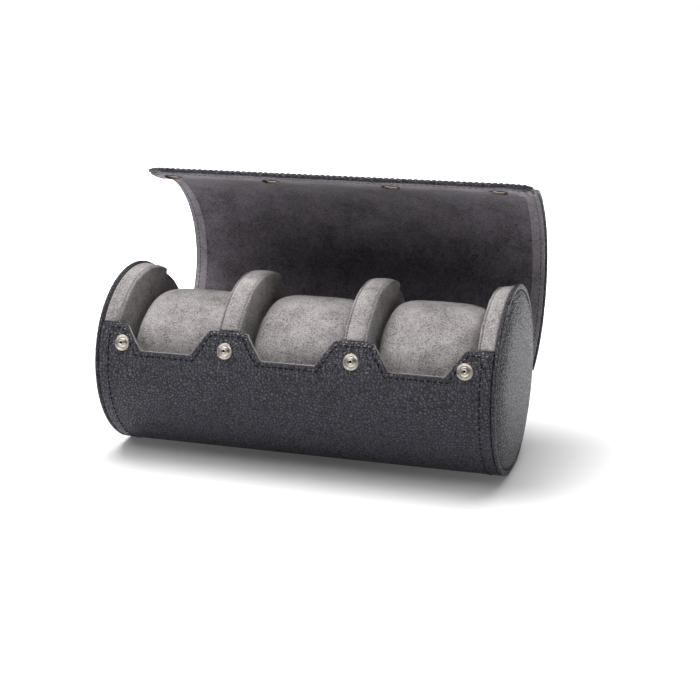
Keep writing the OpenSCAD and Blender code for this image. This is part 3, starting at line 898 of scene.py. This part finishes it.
def make_lid():
    """The lid and its soft front as one sheet: hide, lining, seams and the sockets' holes."""
    outer = cut_panel("lid_leather_wrap", -LID_HALF, LID_HALF, LID_FRONT, LID_BACK)
    clip_corners(outer, 0)
    rule_rows(outer, LID_FRONT, LID_BACK, ROW_STEP)
    thicken(outer, LID_HIDE_T, LID_ROUND)
    roll(outer, at_border)
    dress(outer, hide, "leather", None, "lid_leather", "flap_leather", "crease_bead",
          "lid_board", "flap_board")

    edge = LID_LINING_EDGE
    inner = cut_panel("lid_velour_lining", -LID_HALF + edge, LID_HALF - edge, LID_FRONT + edge,
                      LID_BACK)
    clip_corners(inner, edge)
    reach = LID_HALF / MM
    rule_rows(inner, LID_FRONT, LID_BACK, ROW_STEP,
              [s * (reach - d) * MM for s in (-1, 1) for d in HEM_SCORES])
    with Bench(inner, "FACE") as bench:
        for d in HEM_SCORES:
            bench.score((0, LID_FRONT + 2 * d * MM, 0), (0, 1, 0))
    thicken(inner, LINING_T, LINING_ROUND)
    at_edge = [min(LID_HALF - abs(f.center.x), (f.center.y - LID_FRONT) / 2) < HEM
               for f in inner.data.polygons]
    roll(inner, lambda x, v, n: at_border(x, v, n - LID_LINING_IN))
    dress(inner, shaded_lid_velour, "lining", None, "lid_lining", "flap_lining")
    # faces in the border take the paler velour, painted light, and the rest the darker one, partly
    # painted shade
    inner.data.materials.append(lit_border_velour)
    for face, edge_face in zip(inner.data.polygons, at_edge):
        face.material_index = int(edge_face)

    drill = socket_drill()
    for piece in (outer, inner):
        apply_modifier(piece, "BOOLEAN", operation="DIFFERENCE", object=drill, solver="EXACT")
        smooth_shade(piece)
    bpy.data.objects.remove(drill)

    side, front = LID_HALF - LID_SEAM, LID_HALF - LID_CORNER_X - 1 * MM
    seam = [(-side, LID_BACK - LID_SEAM), (-side, LID_FRONT + LID_SEAM_TURN),
            (-front, LID_FRONT + LID_SEAM), (front, LID_FRONT + LID_SEAM),
            (side, LID_FRONT + LID_SEAM_TURN), (side, LID_BACK - LID_SEAM)]
    outside = sew("lid_outer_stitching", [seam], on_lid)
    dress(outside, thread, "leather", None)
    lining_face = -LID_LINING_IN - LINING_T
    inside = sew("lid_inner_stitching", [seam],
                 lambda x, v, n: at_border(x, v, lining_face - n))
    dress(inside, grey_thread, "lining", None)

    start, end = ([0.0] + [float(q) for q in on_lid(0.0, phi * LID_R, CREASE_R - LID_R)[1:]]
                  for phi in (BEND_FROM, BEND_TO))
    for piece in (outer, inner, outside, inside):
        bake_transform(piece)


def make_hinge():
    """The strips of hide and velour that bridge the tube and the lid."""
    def strip(name, path, thickness, finish, slot, start, end):
        left = -TUBE_HALF + HINGE_END_GAP
        line = draw_line(name, [(left, y * MM, z * MM + AXIS_Z) for y, z in path])
        with Bench(line):
            bpy.ops.mesh.select_all(action="SELECT")
            bpy.ops.mesh.extrude_edges_move(
                TRANSFORM_OT_translate={"value": (-2 * left, 0, 0)})
            bpy.ops.mesh.select_all(action="SELECT")
            bpy.ops.mesh.normals_make_consistent(inside=False)
        apply_modifier(line, "SOLIDIFY", thickness=thickness, offset=0)
        apply_modifier(line, "SUBSURF", levels=2, render_levels=2)
        smooth_shade(line, 60)
        dress(line, finish, slot, None)
        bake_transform(line)

    def at(point):
        return 0, point[0] * MM, point[1] * MM + AXIS_Z

    # in mm from the tube's axis, from the tube's wall to the lid
    hide_path = [(42.0, -15.9), (43.1, -13.0), (44.9, -11.4), (47.2, -11.0), (49.6, -10.3),
                 (51.6, -8.6), (53.6, -6.6)]
    cloth_path = [(41.7, -6.5), (41.9, -4.2), (43.3, -3.3), (45.4, -4.1), (47.0, -5.2),
                  (49.2, -5.0), (51.4, -3.9)]
    strip("hinge_leather_strip", hide_path, 0.7 * MM, bead_hide, "bead_leather",
          at(hide_path[1]), at(hide_path[-2]))
    # the velour strip takes the lid's darker velour, partly painted shade
    strip("hinge_velour_strip", cloth_path, 0.6 * MM, shaded_lid_velour, "lining",
          at(cloth_path[2]), at(cloth_path[-2]))


# ---------------------------------------------------------------- press studs

def stud_place(x):
    """The direction a stud points in, and where its axis meets the tube's."""
    return (np.array([0, -math.cos(STUD_ANGLE), math.sin(STUD_ANGLE)]),
            np.array([x, 0, AXIS_Z]))


def socket_place(x):
    """The same for a socket in the open lid."""
    _, y, z = on_lid(np.full(2, x), np.full(2, STUD_ANGLE * LID_R), np.array([0, 1.0]))
    out = np.array([0, y[1] - y[0], z[1] - z[0]])
    return out, np.array([x, y[0], z[0]]) - out * LID_R


def lathe_on_tube(name, profile, finish, slot, body, nodes, lid=False):
    """Turns a small metal part once and fits a copy at each stud."""
    line = draw_line(name, [(r * MM, 0, z * MM) for r, z in profile])
    part = spin_round(line, 48, (0, 0, 1))
    smooth_shade(part, 35)
    flat = points_of(part)
    copies = []
    for i, x in enumerate(STUD_XS):
        one = copy_of(part, f"{name}_{i}")
        out, middle = socket_place(x) if lid else stud_place(x)
        up = np.array([0, out[2], -out[1]])
        co = flat[:, :1] * np.array([1.0, 0, 0]) + flat[:, 1:2] * up + flat[:, 2:3] * out
        move_points(one, co + middle)
        copies.append(one)
    bpy.data.objects.remove(part)
    piece = joined(name, copies)
    return dress(piece, finish, slot, body, *nodes)


def make_snaps():
    """Studs on the tabs and sockets in the lid; each profile is radius and height in mm."""
    lathe_on_tube("stud_dishes", [
        (3.8, 44.5), (3.82, 45.1), (3.72, 45.36), (3.5, 45.46), (3.22, 45.42), (3.0, 45.24),
        (2.75, 45.12), (2.3, 45.1), (2.05, 45.18), (1.85, 45.32), (1.62, 45.36), (1.55, 45.6),
        (1.58, 45.95), (1.82, 46.3), (1.9, 46.55), (1.78, 46.78), (1.45, 46.88), (1.0, 46.84),
        (0.72, 46.68), (0.62, 46.3), (0.6, 45.6), (0, 45.5)], nickel, "nickel", "case",
        ["snap_studs"])
    # a dark metal plug a little way down the hole in each stud's nub: painted shade in the hole
    lathe_on_tube("stud_hole_shades", [(0.68, 46.1), (0.55, 46.3), (0, 46.36)], dark_metal, "nickel",
                  "case", [])
    lathe_on_tube("socket_cups", [
        (0, 47.6), (4.1, 47.6), (4.15, 46.05), (4.5, 45.95), (4.6, 45.75), (4.55, 45.54),
        (4.38, 45.46), (4.2, 45.54), (4.08, 45.8), (3.8, 46.2), (3.62, 47.2), (3.4, 47.4),
        (0, 47.4)],
        dark_metal, "socket_metal", "flap", ["snap_sockets"], lid=True)
    lathe_on_tube("socket_springs", [
        (3.5, 46.55), (3.4, 46.4), (3.28, 46.42), (3.22, 46.6), (3.3, 46.8), (3.45, 46.8),
        (3.5, 46.55)], nickel, "socket_metal", "flap", ["snap_springs"], lid=True)
    lathe_on_tube("socket_plates", [(0, 48.15), (3.2, 48.15), (3.2, 47.75), (0, 47.75)],
                  plate_paint, "cap_metal", "flap", ["snap_caps"], lid=True)


# ---------------------------------------------------------------- build

make_tube()
make_end(-1, "end_cap_left")
make_end(1, "end_cap_right")

make_padded("pad_left", -TUBE_HALF + PAD_W / 2, PAD_W, False, True,
            ["pad_left_band", "pad_left_face", "pad_left_core"])
make_padded("divider_left", -INNER_TAB_X, DIVIDER_W, True, True,
            ["divider_left_band", "divider_left_faces", "divider_left_core"])
make_padded("divider_right", INNER_TAB_X, DIVIDER_W, True, True,
            ["divider_right_band", "divider_right_faces", "divider_right_core"])
make_padded("pad_right", TUBE_HALF - PAD_W / 2, PAD_W, True, False,
            ["pad_right_band", "pad_right_face", "pad_right_core"])

form = make_cushion_form()
# the left cushion has settled most and the right one not at all
for body, x, press in (("cushion_left", -CUSHION_X, 2.5), ("cushion_middle", 0, 1.8),
                       ("cushion_right", CUSHION_X, 0.0)):
    make_cushion(body, x, press, form)
bpy.data.objects.remove(form)

make_lid()
make_hinge()
make_snaps()
bpy.data.objects.remove(stitch)

# parts of the frame that still show at an edge or a hinge
for node, finish in (("shell_board", board), ("end_left_board", board),
                     ("end_right_board", board), ("hinge_bead", bead_hide),
                     ("stud_rivets", nickel)):
    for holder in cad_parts[node].material_slots:
        holder.material = finish

# ---------------------------------------------------------------- floor, light and camera

FLOOR_SIZE, FLOOR_MIDDLE = 30, (0, 8, -0.0002)
WHITE_FROM, WHITE_TO = 0.0, 0.75     # m from the object's middle, where the glow builds up
BOUNCE_FROM = 0.26                   # m, inside which the floor sends the object no light
STUDIO_LIGHT = 0.01                  # the studio's strength for what the object's faces receive
STUDIO_GLOSS = 0.04                  # and how much more shows low down in what mirrors it

floor = lay_down("floor", bpy.ops.mesh.primitive_plane_add, size=FLOOR_SIZE,
                 location=FLOOR_MIDDLE)
settle(floor)
ground = Finish("white_floor", Roughness=0.9, Specular_IOR_Level=0.0)
# the floor shows white to the camera and in metal and glass, and keeps the object's shadow
rays = ground.node("ShaderNodeLightPath", out="Is Camera Ray")
seen = rays
for kind in ("Is Glossy Ray", "Is Transmission Ray"):
    seen = seen + ground.node("ShaderNodeLightPath", out=kind)
away = ground.node("ShaderNodeVectorMath", {"operation": "LENGTH"}, {0: ground.place},
                   out="Value")
# the glow seen from the camera and in reflections rises from dim near the object to white far out:
# painted light that lightens the outer parts of its shadow
white = ground.mix(away.step(WHITE_FROM, WHITE_TO), (0.06, 0.06, 0.06, 1), (1.0, 1.0, 1.0, 1))
bounce = ground.mix(away.step(BOUNCE_FROM, WHITE_TO), (0, 0, 0, 1), (0.5, 0.5, 0.5, 1))
glow = ground.node("ShaderNodeEmission", {}, {"Color": white, "Strength": 1.0})
far = ground.node("ShaderNodeEmission", {}, {"Color": bounce, "Strength": 1.0})
chosen = ground.node("ShaderNodeMixShader", {}, {0: seen, 1: far, 2: glow})
ground.feed("Base Color", ground.mix(seen, (0.82, 0.82, 0.83, 1), (0.98, 0.98, 0.98, 1)))
total = ground.node("ShaderNodeAddShader", {}, {
    0: Wire(ground, ground.shader.outputs[0]), 1: chosen})
ground.tree.links.new(total.socket, ground.tree.nodes["Material Output"].inputs["Surface"])
floor.data.materials.append(ground.material)


class Sky(Finish):
    """The studio around the object, made of the same nodes as a finish."""

    def __init__(self):
        self.world = bpy.data.worlds.new("studio")
        bpy.context.scene.world = self.world
        self.world.use_nodes = True
        self.tree = self.world.node_tree
        self.shader = self.tree.nodes["Background"]


studio = Sky()
toward = studio.node("ShaderNodeTexCoord", out="Generated")
height = studio.node("ShaderNodeSeparateXYZ", {}, {0: toward}, out="Z")
front = 1 - studio.node("ShaderNodeSeparateXYZ", {}, {0: toward}, out="Y").step(-0.75, -0.15)
shown = studio.node("ShaderNodeLightPath", out="Is Camera Ray")
glossy = studio.node("ShaderNodeLightPath", out="Is Glossy Ray") \
    + studio.node("ShaderNodeLightPath", out="Is Transmission Ray")
low = 1 - height.step(0.10, 0.55)
studio.shader.inputs["Color"].default_value = (1, 1, 1, 1)
studio.feed("Strength", shown + glossy * (low * (1 - front) * STUDIO_GLOSS + STUDIO_LIGHT)
            + (1 - shown) * (1 - glossy) * STUDIO_LIGHT)


LAMPS_AIM = (0, 0, 0.05)
CAMERA_PLACE = (0.2141, -0.6134, 0.2225)
CAMERA_TURN = (75.13 * DEG, 0, 17.86 * DEG)
CAMERA_LENS, CAMERA_SENSOR = 71.1, 36          # mm


def softbox(name, place, size, power):
    """A rectangular lamp over the object; its power is in watts."""
    bpy.ops.object.light_add(type="AREA", location=place)
    lamp = bpy.context.active_object
    lamp.name = name
    lamp.data.shape = "RECTANGLE"
    lamp.data.size, lamp.data.size_y = size
    lamp.data.energy = power
    lamp.rotation_euler = (Vector(LAMPS_AIM) - Vector(place)).to_track_quat("-Z", "Y").to_euler()


softbox("key_softbox", (-0.55, -0.42, 0.95), size=(0.8, 0.8), power=5.6)
softbox("right_softbox", (0.95, 0.1, 0.55), size=(0.5, 0.7), power=0.5)
softbox("top_softbox", (-0.15, 0.24, 1.05), size=(1.1, 0.8), power=17.5)

bpy.ops.object.camera_add(location=CAMERA_PLACE, rotation=CAMERA_TURN)
camera = bpy.context.active_object
camera.data.lens = CAMERA_LENS
camera.data.sensor_width = CAMERA_SENSOR
bpy.context.scene.camera = camera
bpy.context.scene.view_settings.view_transform = "Standard"
